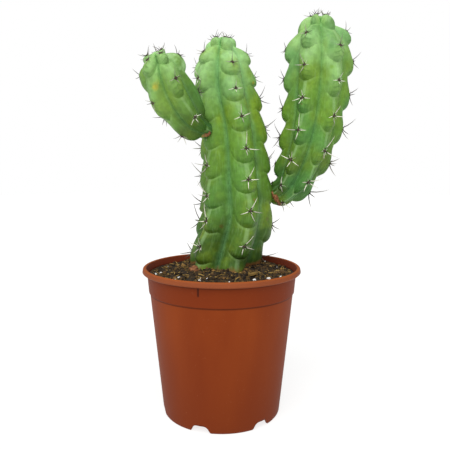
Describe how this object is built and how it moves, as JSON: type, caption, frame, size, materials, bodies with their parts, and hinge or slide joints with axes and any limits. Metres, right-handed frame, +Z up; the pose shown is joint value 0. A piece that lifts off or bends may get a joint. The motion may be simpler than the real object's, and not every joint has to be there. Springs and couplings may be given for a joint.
{
  "type": "potted tall cactus",
  "caption": "Tall ribbed columnar cactus with side arms and clusters of spines, growing in soil in a round tapered plastic nursery pot.",
  "frame": {"origin": "centre of the pot's foot ring, on the surface it stands on", "axes": "+Z up, -Y towards the front of the plant as pictured, +X towards the taller arm"},
  "size_m": [0.2324, 0.17, 0.4295],
  "materials": {
    "pot_plastic": "moulded polypropylene, soft sheen",
    "potting_soil": "dark peat and bark mix, rough and lumpy",
    "bark": "rough dry bark",
    "cactus_skin": "living waxy green skin, satin",
    "spine": "hard woody spines, ivory to dark grey-brown"
  },
  "bodies": {
    "root": {"pot": "pot_plastic", "soil": "potting_soil", "bark_chip": "bark", "main_stem": "cactus_skin", "right_arm": "cactus_skin", "left_arm": "cactus_skin"}
  },
  "joints": []
}
